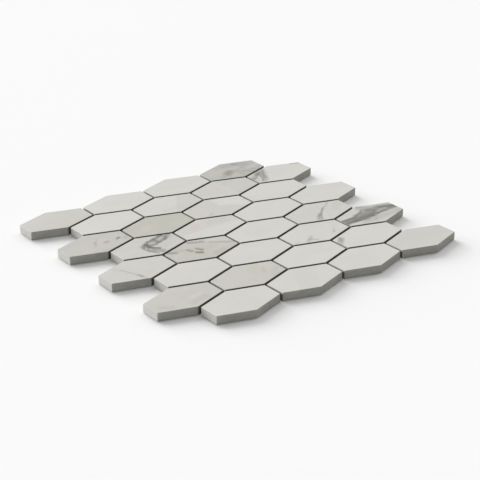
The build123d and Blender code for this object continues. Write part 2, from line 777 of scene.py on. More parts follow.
# The chips whose print stands out, by row and place in the row, both counted from 1. Lengths in millimetres.
PRINTS: dict[tuple[int, int], MarblePrint] = {
    (1, 1): MarblePrint(
        Ground.LINEN,
        (
            patch(((-12, -8), (8, -4)), 18, BLUSH, 0.35, 0.9),
            patch(((8, 13), (20, 10)), 12, MOSS, 0.3),
        ),
    ),
    (1, 4): MarblePrint(
        Ground.SMOKE,
        (
            patch(((-38, 4), (-20, 8)), 14, BLUSH, 0.35, 0.8),
            patch(((-6, 10), (-14, 0)), 16, MOSS, 0.25, 0.9),
            patch(((16, 4), (30, 5)), 16, MAUVE, 0.42, 0.9),
            patch(((1, -6), (2, -16)), 13, MOSS, 0.25, 0.9),
            patch(((20, -4), (32, 0)), 12, CREAM, 0.25, 0.9),
            Vein(((0, 14), (12, 13), (22, 9)), 17, ASH, 0.30, 0.2, 0.3, 0.95),
            Vein(((-12, 14), (-4, 13)), 8, ASH, 0.22, 0.2, 0.4),
            Vein(((11, 13.5), (15, 12)), 8, SLATE, 0.38, 0.3, 0.4),
            Vein(((-11, -6), (-5, -2)), 17, UMBER, 0.66, 0.1, 0.25, 0.9),
            Vein(((-20, -10), (-12, -13)), 8, ASH, 0.35, 0.2, 0.4),
            Vein(((3, -18), (4, -2)), 11, ASH, 0.30, 0.2, 0.4, 0.95),
            Vein(((9, -9), (14, -13), (20, -19)), 6, ASH, 0.52, 0.4, 0.5),
            Vein(((20, -9), (26, -14)), 5, ASH, 0.36, 0.4, 0.5),
        ),
        clouds=0.8,
        warmth=0.5,
    ),
    (2, 2): MarblePrint(
        veins=(
            patch(((12, -18), (34, 14)), 25, ASH, 0.12, 0.22),
            patch(((-12, -12), (6, -12)), 12, MOSS, 0.35, 0.9),
        ),
        clouds=0.4,
    ),
    (2, 3): MarblePrint(
        Ground.CHALK,
        (
            patch(((14, -20), (17, 20)), 26, ASH, 0.06, 0.25),
            patch(((28, -8), (34, 8)), 16, MAUVE, 0.10, 0.8),
            patch(((-24, 2), (-10, -2)), 22, BLUSH, 0.3, 0.8),
            Vein(((4, 8), (8, 12)), 5, ASH, 0.12, 0.3, 0.5),
        ),
        clouds=0.3,
    ),
    (2, 4): MarblePrint(
        veins=(
            patch(((-40, -3), (-20, 10)), 22, MAUVE, 0.34, 0.7),
            Vein(((-34, 4), (-16, 16)), 10, ASH, 0.38, 0.5, 0.6),
            Vein(((-11, 18), (-17, 7), (-21, -1), (-27, -9)), 11, ASH, 0.54, 0.2, 0.4, 0.95),
            Vein(((-12, 16), (-17, 8), (-20, 1), (-22, -4)), 4.8, SLATE, 0.40, 0.6, 0.5),
            Vein(((-18, 14), (-22, 6), (-25, -2), (-31, -9)), 5.0, SLATE, 0.40, 0.6, 0.5),
            Vein(((-22, 12), (-29, 4), (-38, -1)), 5, SLATE, 0.45, 0.6, 0.6),
            Vein(((-25, 8), (-19, 13)), 8, UMBER, 0.40, 0.3, 0.3),
            Vein(((-23, 8), (-18, 14)), 5.5, SLATE, 0.42, 0.4, 0.4),
            Vein(((27, 12), (34, 9)), 6.5, ASH, 0.45, 0.3, 0.5),
        ),
        clouds=0.4,
        warmth=0.2,
        reach=2.8,
    ),
    (3, 1): MarblePrint(
        Ground.BEIGE,
        (
            patch(((0, 14), (8, 8)), 14, MOSS, 0.3, 0.9),
            patch(((-16, -12), (4, -8)), 15, BLUSH, 0.4, 0.8),
            patch(((2, 4), (10, 2)), 9, BLUSH, 0.4, 0.8),
            patch(((30, -6), (36, -2)), 8, ASH, 0.25, 0.8),
            Vein(((24.2, -2.8), (26.2, -1.4)), 4.8, SLATE, 0.85, 0.3, 0.3),
            Vein(((21, -5), (24, -3)), 3.4, ASH, 0.45, 0.3, 0.4),
            Vein(((9, -4), (12, -3)), 7.0, OLIVE, 0.62, 0.2, 0.4),
            Vein(((-1, -1), (1, 2)), 5.5, UMBER, 0.34, 0.3, 0.4),
            Vein(((-5, -8), (-1, -3)), 5.0, UMBER, 0.16, 0.3, 0.5),
            Vein(((1, 2), (6, 7)), 4.0, UMBER, 0.20, 0.4, 0.6),
        ),
        warmth=0.3,
        reach=1.8,
    ),
    (3, 2): MarblePrint(
        Ground.SAGE,
        (
            patch(((-20, -2), (-12, 2)), 15, BLUSH, 0.45, 0.9),
            patch(((8, -4), (24, 4)), 20, MOSS, 0.12),
        ),
        clouds=0.6,
    ),
    (3, 3): MarblePrint(
        Ground.CHALK,
        (
            patch(((-26, -4), (-12, -4)), 22, BLUSH, 0.35, 0.8),
            patch(((12, 10), (40, 10)), 21, CREAM, 0.70, 0.35),
            patch(((16, 3), (40, -13)), 16, CREAM, 0.65, 0.45),
            Vein(((-18, -12), (-15, -10)), 5, UMBER, 0.20, 0.3, 0.5),
        ),
    ),
    (4, 1): MarblePrint(
        Ground.CHALK,
        (
            patch(((4, -6), (30, 2)), 26, ASH, 0.08, 0.5),
            Vein(((-3, 0), (6, 5), (26, 9)), 17, ASH, 0.46, 0.1, 0.4, 0.9),
            Vein(((24, 14), (13, 10), (5, 8), (-2, 4), (-6, -1)), 5.6, SLATE, 0.74, 0.5, 0.5),
            Vein(((-6, 2), (-7, -4), (-5, -11), (-1, -19)), 4.8, ASH, 0.90, 0.4, 0.4),
            Vein(((-4, -6), (-2, -14)), 6.5, ASH, 0.50, 0.3, 0.4),
            Vein(((-1, -1), (8, -1), (15, 2), (22, 5), (33, 13)), 6.4, SLATE, 0.66, 0.5, 0.6),
            Vein(((0, 3), (-1, -3), (2, -7), (6, -10)), 7.4, SLATE, 0.92, 0.4, 0.3),
            Vein(((13, 11), (13, 3)), 8.0, SLATE, 0.66, 0.4, 0.5),
            Vein(((22, 14), (25, 12)), 6, SLATE, 0.50, 0.3, 0.4),
            Vein(((2, -12), (5, -16)), 12, ASH, 0.70, 0.2, 0.2, 0.6),
        ),
        warmth=0.2,
        reach=2.6,
    ),
    (4, 2): MarblePrint(
        veins=(
            patch(((-40, 9), (40, 9)), 21, ASH, 0.10, 0.12),
            patch(((8, 8), (22, 8)), 16, MOSS, 0.4, 0.6),
            patch(((-16, 5), (-10, 12)), 13, BLUSH, 0.5, 0.7),
        ),
        clouds=0.4,
    ),
    (5, 1): MarblePrint(
        Ground.CHALK,
        (
            patch(((-2, -15), (8, -13)), 13, BLUSH, 0.5, 0.8),
            patch(((-22, 4), (-12, 8)), 14, BLUSH, 0.3, 0.9),
            Vein(((-19, 14), (-13, 7)), 7.0, ASH, 0.12, 0.2, 0.4),
            Vein(((-13, 7), (-10.5, 0), (-7.5, -6), (-5.5, -12), (-4, -20)), 5.0, ASH, 0.26, 0.4, 0.4),
            Vein(((-6, -11), (-5, -15)), 5.5, UMBER, 0.5, 0.3, 0.4),
        ),
    ),
    (5, 2): MarblePrint(
        Ground.BEIGE,
        (
            patch(((-12, 0), (-4, -2)), 22, MOSS, 0.35, 0.8),
            patch(((-34, -2), (-26, 2)), 13, BLUSH, 0.6, 0.8),
            patch(((2, -12), (22, -6)), 17, BLUSH, 0.4, 0.8),
            patch(((6, -15), (18, -12)), 9, MAUVE, 0.32, 0.8),
            patch(((20, 14), (38, 3)), 11, CREAM, 0.35, 0.4),
            Vein(((-22, 10), (-14, 7)), 7, MAUVE, 0.4, 0.2, 0.4),
            Vein(((-12, 5), (-11, 2)), 8, OLIVE, 0.7, 0.2, 0.3),
            Vein(((-8, -4), (-5, -6.5)), 7.5, UMBER, 0.95, 0.3, 0.2),
            Vein(((-3, 3), (-1, -1)), 7, UMBER, 0.8, 0.2, 0.3),
            Vein(((-2, 19), (4, 16), (10, 13.5)), 7, ASH, 0.72, 0.3, 0.4),
            Vein(((-32, 12), (-26, 8)), 8, ASH, 0.8, 0.3, 0.3),
            Vein(((16, 7), (24, 2), (35, -5)), 6, ASH, 0.40, 0.3, 0.4),
        ),
        warmth=0.3,
        reach=1.8,
    ),
    (5, 4): MarblePrint(
        Ground.CHALK,
        (
            patch(((20, -2), (32, 6)), 16, MOSS, 0.45, 0.9),
            patch(((-24, 4), (-10, 2)), 20, BLUSH, 0.35, 0.9),
            Vein(((24, 14), (16, 8), (9, 4)), 3.6, ASH, 0.36, 0.3, 0.4),
            Vein(((9, 4), (3, -1), (-3, -6)), 4.2, SLATE, 0.52, 0.4, 0.4),
            Vein(((-3, -6), (-7, -11), (-10, -16)), 6.5, SLATE, 0.48, 0.5, 0.6),
            Vein(((-4, -6), (-9, -10), (-14, -16)), 6.0, ASH, 0.55, 0.4, 0.5),
        ),
        clouds=0.45,
        reach=1.8,
    ),
    (6, 3): MarblePrint(
        veins=(
            patch(((20, -12), (30, 10)), 14, BLUSH, 0.3, 0.8),
            Vein(((-20, -14), (-15, -10), (-10, -6)), 6.5, ASH, 0.38, 0.3, 0.5),
            Vein(((-14, -10), (-10, -15)), 7.0, ASH, 0.34, 0.2, 0.4),
            Vein(((17, -10), (19, -8)), 4.5, ASH, 0.42, 0.2, 0.4),
            Vein(((13, -13), (18, -8), (24, -3)), 4, ASH, 0.12, 0.2, 0.4),
            Vein(((-31, -9), (-27, -8)), 4, ASH, 0.25, 0.2, 0.4),
        ),
        clouds=0.6,
    ),
    (6, 4): MarblePrint(
        Ground.CHALK,
        (
            patch(((-16, -12), (34, -10)), 16, ASH, 0.30, 0.9),
            patch(((8, 13), (32, 8)), 13, ASH, 0.46, 0.9),
            patch(((3, 21), (5, 8)), 16, ASH, 0.56, 0.8),
            Vein(((-3, 15), (1, 21)), 6, ASH, 0.30, 0.3, 0.5),
            Vein(((-40, -2), (-20, -2), (-4, -1)), 16, ASH, 0.95, 0.2, 0.2, 0.4),
            patch(((-36, -1), (-14, 0)), 12, OLIVE, 0.45, 0.7),
            Vein(((-10, 2), (4, 4), (16, 5)), 17, ASH, 0.90, 0.2, 0.25, 0.5),
            Vein(((12, 7), (24, 5), (38, 1)), 12, ASH, 0.90, 0.2, 0.25, 0.6),
            Vein(((-40, -5), (-14, -6), (0, -4), (20, -2), (38, 0)), 7, SLATE, 0.78, 0.5, 0.45),
            Vein(((-38, 2), (-22, 2), (-9, 6), (0, 12)), 7, SLATE, 0.55, 0.5, 0.5),
            Vein(((-22, -2), (-4, -1), (8, 0)), 9, SLATE, 0.5, 0.5, 0.5),
            Vein(((10, 1), (18, 3), (26, 2)), 5, CREAM, 0.26, 0.2, 0.5),
            Vein(((-14, 3), (-4, 7), (2, 12)), 4, CREAM, 0.16, 0.2, 0.5),
            Vein(((4, 9), (10, 4)), 8, SLATE, 0.45, 0.4, 0.5),
            Vein(((20, 8), (28, 5), (38, 1)), 7, SLATE, 0.65, 0.5, 0.4),
            Vein(((20, -2), (30, -2), (42, -2)), 9, ASH, 0.60, 0.3, 0.3),
            Vein(((27, 2), (42, 0)), 7, SLATE, 0.50, 0.4, 0.4),
            Vein(((-17, -8), (-11, -9), (-3, -5)), 5, ASH, 0.60, 0.4, 0.6),
            Vein(((-6, -15), (0, -9), (7, -4)), 5, ASH, 0.30, 0.3, 0.6),
        ),
        clouds=0.6,
        warmth=0.2,
        reach=3.2,
    ),
    (7, 1): MarblePrint(
        Ground.LINEN,
        (
            patch(((-12, 4), (-2, 6)), 14, BLUSH, 0.35, 0.9),
            patch(((-34, 0), (-26, -2)), 11, MOSS, 0.35, 0.9),
            patch(((-27, -6), (-20, -10)), 13, MAUVE, 0.28, 0.95),
            patch(((2, -14), (18, -10)), 15, MAUVE, 0.30, 0.95),
            patch(((-8, -4), (0, 0)), 12, MOSS, 0.22, 0.95),
            patch(((6, -6), (18, -3)), 10, CREAM, 0.24, 0.95),
        ),
        warmth=0.3,
    ),
    (7, 2): MarblePrint(
        Ground.LINEN,
        (
            patch(((8, 2), (15, 14)), 18, MOSS, 0.55, 0.95),
            patch(((20, -5), (27, 1)), 13, BLUSH, 0.6, 0.9),
            patch(((20, -14), (30, -4)), 13, ASH, 0.14, 0.95),
            patch(((-24, -6), (-8, -2)), 18, BLUSH, 0.3, 0.9),
            Vein(((16, -4), (19, 3)), 7.5, UMBER, 0.16, 0.2, 0.4, 0.95),
        ),
        clouds=0.6,
        warmth=0.3,
    ),
    (7, 4): MarblePrint(
        veins=(
            Vein(((-36, 0), (-31, 5), (-27, 9)), 10.0, ASH, 0.62, 0.3, 0.45),
            Vein(((-31, 6), (-28, 9)), 5.0, SLATE, 0.26, 0.3, 0.4),
        ),
        clouds=0.4,
    ),
    (8, 2): MarblePrint(veins=(patch(((-10, -20), (16, 20)), 26, ASH, 0.06, 0.4),)),
    (8, 4): MarblePrint(Ground.CHALK),
}


@dataclass(frozen=True)
class FiredBody:
    """Bare fired porcelain.

    Attributes:
        name: The material's name.
        light: Its light tone.
        dark: Its dark tone.
        speck: The colour of its specks.
        relief: Depth of its grain.
    """

    name: str = "porcelain_body"
    light: Colour = (0.376, 0.371, 0.338)
    dark: Colour = (0.304, 0.298, 0.269)
    speck: Colour = (0.16, 0.155, 0.14)
    relief: float = 0.03 * MM

    def lay(self, bench: FinishBench) -> Any:
        """The outputs of the body's grain and tones, placed in a material."""
        node = FIRED_BODY.use(bench, Vector=bench.where, Light=self.light, Dark=self.dark, Speck=self.speck)
        return node.outputs

    def make(self) -> bpy.types.Material:
        """Makes the material.

        Returns:
            The material.
        """
        bench = FinishBench(self.name)
        body = self.lay(bench)
        return bench.dress(body["Colour"], body["Roughness"], body["Height"], self.relief)


# The walls inside a joint, their body darkened as painted shade, and the backs, which the kiln wash has
# dusted white
SHADED_JOINT_BODY = FiredBody(
    "porcelain_joint_wall_painted_shade", (0.145, 0.138, 0.107), (0.112, 0.106, 0.081), (0.08, 0.073, 0.056)
)
DUSTED_BODY = FiredBody("porcelain_back", (0.560, 0.545, 0.505), (0.450, 0.435, 0.395), (0.24, 0.22, 0.20))


@dataclass(frozen=True)
class GlazedEnd:
    """A chip's blunt end, where the glaze has run down over the body.

    Attributes:
        name: The material's name.
        depth: How far the glaze has run down.
        glaze: Its tone.
        shade: Its tone where it pools.
        bare: The body under it.
        seed: The seed of its clouds.
        pooled: How much the pools show.
        warmth: How much the warm tone of the pools shows.
        roughness: The glaze's roughness.
        relief: Depth of the body's grain.
    """

    name: str
    depth: float
    glaze: Colour = (0.617, 0.608, 0.574)
    shade: Colour = (0.574, 0.565, 0.530)
    # The body under the glaze, by default the one darkened as painted shade for the joints
    bare: FiredBody = SHADED_JOINT_BODY
    seed: float = 3.1
    pooled: float = 0.5
    warmth: float = 0.2
    roughness: float = 0.42
    relief: float = 0.02 * MM

    def make(self, face_height: float) -> bpy.types.Material:
        """Makes the material.

        Args:
            face_height: Height of the chip's face.

        Returns:
            The material.
        """
        bench = FinishBench(self.name)
        clouds = CLOUDS.use(
            bench,
            Vector=bench.where,
            Seed=self.seed,
            Light=self.glaze,
            Dark=self.shade,
            Warm=self.shade,
            Amount=self.pooled,
            Warmth=self.warmth,
        ).outputs
        body = self.bare.lay(bench)
        run = GLAZE_RUN.use(bench, Vector=bench.where, Face=face_height, Depth=self.depth).outputs["Mask"]
        skin = SKIN.use(bench, Vector=bench.where, Roughness=self.roughness).outputs
        colour = bench.blend(run, body["Colour"], clouds["Colour"])
        roughness = bench.blend(run, body["Roughness"], skin["Roughness"], "FLOAT")
        return bench.dress(colour, roughness, body["Height"], self.relief)


@dataclass(frozen=True)
class GluedBack:
    """The unglazed back of a chip, with the glue that holds the net.

    Attributes:
        bare: The body under the glue.
        glue: The glue's colour.
        glue_roughness: The glue's roughness.
        swell: How much higher the glue stands than the body's grain.
        relief: Depth of the body's grain.
    """

    bare: FiredBody = DUSTED_BODY
    glue: Colour = (0.760, 0.755, 0.720)
    glue_roughness: float = 0.34
    swell: float = 3.0
    relief: float = 0.05 * MM

    def make(self, pitch: float, edge: Vector) -> bpy.types.Material:
        """Makes the material.

        Args:
            pitch: From strand to strand of the net; the strands along X lie half of it off the middle.
            edge: The net's corner towards +X and +Y, where its glue ends.

        Returns:
            The material.
        """
        bench = FinishBench(self.bare.name)
        body = self.bare.lay(bench)
        glue = GLUE.use(
            bench, Vector=bench.where, Pitch=pitch, Shift=pitch / 2, Edge_X=edge.x, Edge_Y=edge.y
        ).outputs
        colour = bench.blend(glue["Mask"], body["Colour"], self.glue)
        roughness = bench.blend(glue["Mask"], body["Roughness"], self.glue_roughness, "FLOAT")
        height = bench.times_plus(glue["Height"], self.swell, body["Height"])
        return bench.dress(colour, roughness, height, self.relief)


@dataclass(frozen=True)
class ResinYarn:
    """White glass-fibre yarn, stiffened with a thin resin.

    Attributes:
        light: Its light tone.
        dark: The tone between its filaments.
        along: Changes of tone for each metre along it.
        across: Filaments for each metre across it.
        coat: How much the resin shines.
        relief: Depth of its filaments.
    """

    light: Colour = (0.800, 0.805, 0.775)
    dark: Colour = (0.560, 0.565, 0.530)
    along: float = 300.0
    across: float = 6000.0
    coat: float = 0.3
    relief: float = 0.04 * MM

    def make(self, axis: str) -> bpy.types.Material:
        """Makes the material of the yarns that run one way.

        Args:
            axis: X or Y.

        Returns:
            The material.
        """
        bench = FinishBench(f"glass_yarn_along_{axis.lower()}")
        fineness = tuple(self.along if name == axis else self.across for name in "XYZ")
        yarn = YARN.use(
            bench, Vector=bench.where, Fineness=fineness, Light=self.light, Dark=self.dark
        ).outputs
        bench.feed(bench.shader, "Coat Weight", self.coat)
        return bench.dress(yarn["Colour"], yarn["Roughness"], yarn["Height"], self.relief)


def edit_mode(on: bool) -> None:
    """Enters or leaves edit mode of the active object."""
    bpy.ops.object.mode_set(mode="EDIT" if on else "OBJECT")


def start_piece() -> None:
    """Deselects everything, so that the next primitive stands alone."""
    if bpy.context.view_layer.objects.active and bpy.context.mode != "OBJECT":
        edit_mode(False)
    bpy.ops.object.select_all(action="DESELECT")


def pick(what: str, test: Callable[[Any], bool]) -> None:
    """Selects the vertices, edges or faces of the active mesh that pass a test, and nothing else.

    Args:
        what: VERT, EDGE or FACE.
        test: Called with a mesh vertex, with an edge's two ends, or with a mesh polygon.
    """
    edit_mode(True)
    bpy.ops.mesh.select_mode(type=what)
    bpy.ops.mesh.select_all(action="DESELECT")
    edit_mode(False)
    mesh = bpy.context.view_layer.objects.active.data
    for element in {"VERT": mesh.vertices, "EDGE": mesh.edges, "FACE": mesh.polygons}[what]:
        ends = [mesh.vertices[i].co for i in element.vertices] if what == "EDGE" else None
        element.select = test(ends or element)
    edit_mode(True)


@dataclass
class PressedChip:
    """One porcelain chip: an elongated hexagon with an eased face edge and a ribbed back.

    Attributes:
        length: Between the blunt ends.
        width: From tip to tip.
        end_width: Width of a blunt end.
        foot: Height of its back.
        face: Height of its face.
        arris: Radius of its eased edges.
        rib_pitch: From rib to rib of its back.
        rib_depth: Depth of the grooves between the ribs.
        rim: Width of the flat rim round the ribs.
        arris_segments: Facets of an eased edge.
        smooth_angle: The sharpest edge that is shaded smooth.
    """

    length: float
    width: float
    end_width: float
    foot: float
    face: float
    arris: float = 0.42 * MM
    rib_pitch: float = 3.0 * MM
    rib_depth: float = 0.35 * MM
    rim: float = 2.5 * MM
    arris_segments: int = 3
    smooth_angle: float = math.radians(40)

    def model(self) -> bpy.types.Object:
        """Models the chip at the middle of the frame.

        Returns:
            Its object.
        """
        self._block()
        self._ribs()
        self._ease_edges()
        chip = bpy.context.view_layer.objects.active
        self._finish(chip)
        return chip

    def _block(self) -> None:
        """Draws a hexagonal prism out to the chip's outline."""
        start_piece()
        radius = self.width / 2
        bpy.ops.mesh.primitive_cylinder_add(
            vertices=6,
            radius=radius,
            depth=self.face - self.foot,
            location=(0.0, 0.0, (self.face + self.foot) / 2),
            end_fill_type="NGON",
        )
        bpy.ops.object.transform_apply(location=True, rotation=True, scale=True)
        edit_mode(True)
        bpy.ops.mesh.select_all(action="SELECT")
        across_flats = 2 * radius * math.sin(math.radians(60))
        bpy.ops.transform.resize(value=(self.length / across_flats, 1.0, 1.0))
        # The ends of the regular hexagon are as wide as its radius
        pick("VERT", lambda vertex: abs(vertex.co.x) > self.length / 4)
        bpy.ops.transform.resize(value=(1.0, self.end_width / radius, 1.0))

    def _ribs(self) -> None:
        """Presses grooves into the back, inside a flat rim."""
        pick("FACE", lambda face: face.normal.z < -LEVEL)
        bpy.ops.mesh.inset(thickness=self.rim)
        low = -self.width / 2 + self.rim
        bands = int((self.width - 2 * self.rim) / self.rib_pitch * 2)
        step = (self.width - 2 * self.rim) / bands
        for band in range(1, bands):
            pick("FACE", self._inside_rim)
            bpy.ops.mesh.bisect(plane_co=(0.0, low + band * step, self.foot), plane_no=(0.0, 1.0, 0.0))
        pick("FACE", lambda face: self._inside_rim(face) and int((face.center.y - low) / step) % 2 == 1)
        bpy.ops.mesh.extrude_region_move(TRANSFORM_OT_translate={"value": (0.0, 0.0, self.rib_depth)})
        bpy.ops.mesh.select_all(action="SELECT")
        bpy.ops.mesh.normals_make_consistent(inside=False)

    def _inside_rim(self, face: bpy.types.MeshPolygon) -> bool:
        """Whether a face belongs to the back and lies inside its flat rim.

        Args:
            face: A face of the active mesh.

        Returns:
            True inside the rim.
        """
        vertices = bpy.context.view_layer.objects.active.data.vertices
        slack = 0.1 * MM
        inside = all(self._edge_distance(vertices[i].co) > self.rim - slack for i in face.vertices)
        return inside and face.normal.z < -LEVEL

    def _edge_distance(self, point: Vector) -> float:
        """How far a point lies inside the chip's outline.

        Args:
            point: The point.

        Returns:
            The distance to the nearest flank or end.
        """
        slope = (self.width - self.end_width) / self.length
        flank = (self.width / 2 - slope * abs(point.x) - abs(point.y)) / math.hypot(1, slope)
        return min(flank, self.length / 2 - abs(point.x))

    def _ease_edges(self) -> None:
        """Rounds every outer edge: round the face, round the back and up the corners."""
        slack = 0.05 * MM
        pick("EDGE", lambda ends: all(self._edge_distance(end) < slack for end in ends))
        bpy.ops.mesh.bevel(offset=self.arris, segments=self.arris_segments, affect="EDGES")
        edit_mode(False)

    def _finish(self, chip: bpy.types.Object) -> None:
        """Marks the zones of a chip's finish and shades it smooth over its eased edges, flat elsewhere.

        Args:
            chip: The chip's object.
        """
        for _ in Zone:
            chip.data.materials.append(None)
        for face in chip.data.polygons:
            out = face.normal
            endways = abs(out.x) > ENDWAYS * math.hypot(out.x, out.y)
            if out.z < UNDERSIDE:
                zone = Zone.BACK
            elif out.z > (EASED if endways else LEVEL):
                zone = Zone.GLAZE
            else:
                zone = Zone.END if endways else Zone.BODY
            face.material_index = zone.value
        bpy.ops.object.shade_smooth_by_angle(angle=self.smooth_angle)
        bpy.ops.object.modifier_add(type="WEIGHTED_NORMAL")
        chip.modifiers[-1].keep_sharp = True
        bpy.ops.object.modifier_apply(modifier=chip.modifiers[-1].name)


@dataclass
class ChipField:
    """The sheet's chips, each of them standing for its solid in the frame.

    Attributes:
        rows: Rows of chips.
        places: Chips in a row.
        end_width: Width of a chip's blunt end.
        joint_run: How far the glaze has run down the ends that face a joint.
        row_seed: What a row adds to the seed of its prints.
        place_seed: What a place in the row adds to it.
    """

    rows: int = 8
    places: int = 4
    end_width: float = 22.6 * MM
    joint_run: float = 1.65 * MM
    row_seed: float = 10.0
    place_seed: float = 2.7

    @staticmethod
    def node(row: int, place: int) -> str:
        """The frame's name of a chip, counted from 1."""
        return f"chip_row_{row}_{place}"

    def build(self, net_pitch: float) -> None:
        """Models one chip, copies it to each place and dresses each copy.

        Args:
            net_pitch: From strand to strand of the net, which the glue on the backs follows.
        """
        low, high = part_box(self.node(1, 1))
        pattern = PressedChip(high.x - low.x, high.y - low.y, self.end_width, low.z, high.z).model()
        finishes = {
            Zone.BODY: FiredBody().make(),
            Zone.BACK: GluedBack().make(net_pitch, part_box("mesh_back_half")[1]),
            Zone.END: GlazedEnd("glaze_outer_end", high.z - low.z).make(high.z),
            Zone.JOINT_END: GlazedEnd("glaze_joint_end", self.joint_run).make(high.z),
            # The joint walls' body is darkened as painted shade
            Zone.SHADED_JOINT_BODY: SHADED_JOINT_BODY.make(),
        }
        for row in range(1, self.rows + 1):
            for place in range(1, self.places + 1):
                self._lay(pattern, row, place, finishes)
        bpy.data.objects.remove(pattern)

    def _lay(
        self, pattern: bpy.types.Object, row: int, place: int, finishes: dict[Zone, bpy.types.Material]
    ) -> None:
        """Lays one chip.

        Args:
            pattern: The chip that is copied.
            row: Its row.
            place: Its place in the row.
            finishes: The finishes of its back and its walls.
        """
        low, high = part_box(self.node(row, place))
        centre = (low + high) / 2
        name = f"porcelain_row_{row}_{place}"
        chip = bpy.data.objects.new(name, pattern.data.copy())
        chip.data.name = name
        self._part_joint_walls(chip.data, row, place)
        chip.data.transform(Matrix.Translation((centre.x, centre.y, 0.0)))
        bpy.context.scene.collection.objects.link(chip)
        seed = self.row_seed * row + self.place_seed * place
        marble = PRINTS.get((row, place), PLAIN)
        chip.data.materials[Zone.GLAZE.value] = marble.make(f"glaze_row_{row}_{place}", centre, seed)
        for zone, material in finishes.items():
            chip.data.materials[zone.value] = material
        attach(chip, BODY)
        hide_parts(self.node(row, place))
        log.info("%s: %d faces", name, len(chip.data.polygons))

    def _part_joint_walls(self, mesh: bpy.types.Mesh, row: int, place: int) -> None:
        """Gives the walls that face another chip a finish of their own: a darker body, painted shade for the
        joints.

        Args:
            mesh: The chip's mesh, still at the middle of the frame.
            row: The chip's row.
            place: The chip's place in its row.
        """
        first, last = place == 1, place == self.places
        for face in mesh.polygons:
            left, back = face.normal.x < 0, face.normal.y > 0
            if face.material_index == Zone.END.value:
                if not (first if left else last):
                    face.material_index = Zone.JOINT_END.value
            elif face.material_index == Zone.BODY.value:
                in_notch = row % 2 == 1 and first and left or row % 2 == 0 and last and not left
                on_edge = row == 1 and back or row == self.rows and not back
                if not (in_notch or on_edge):
                    face.material_index = Zone.SHADED_JOINT_BODY.value


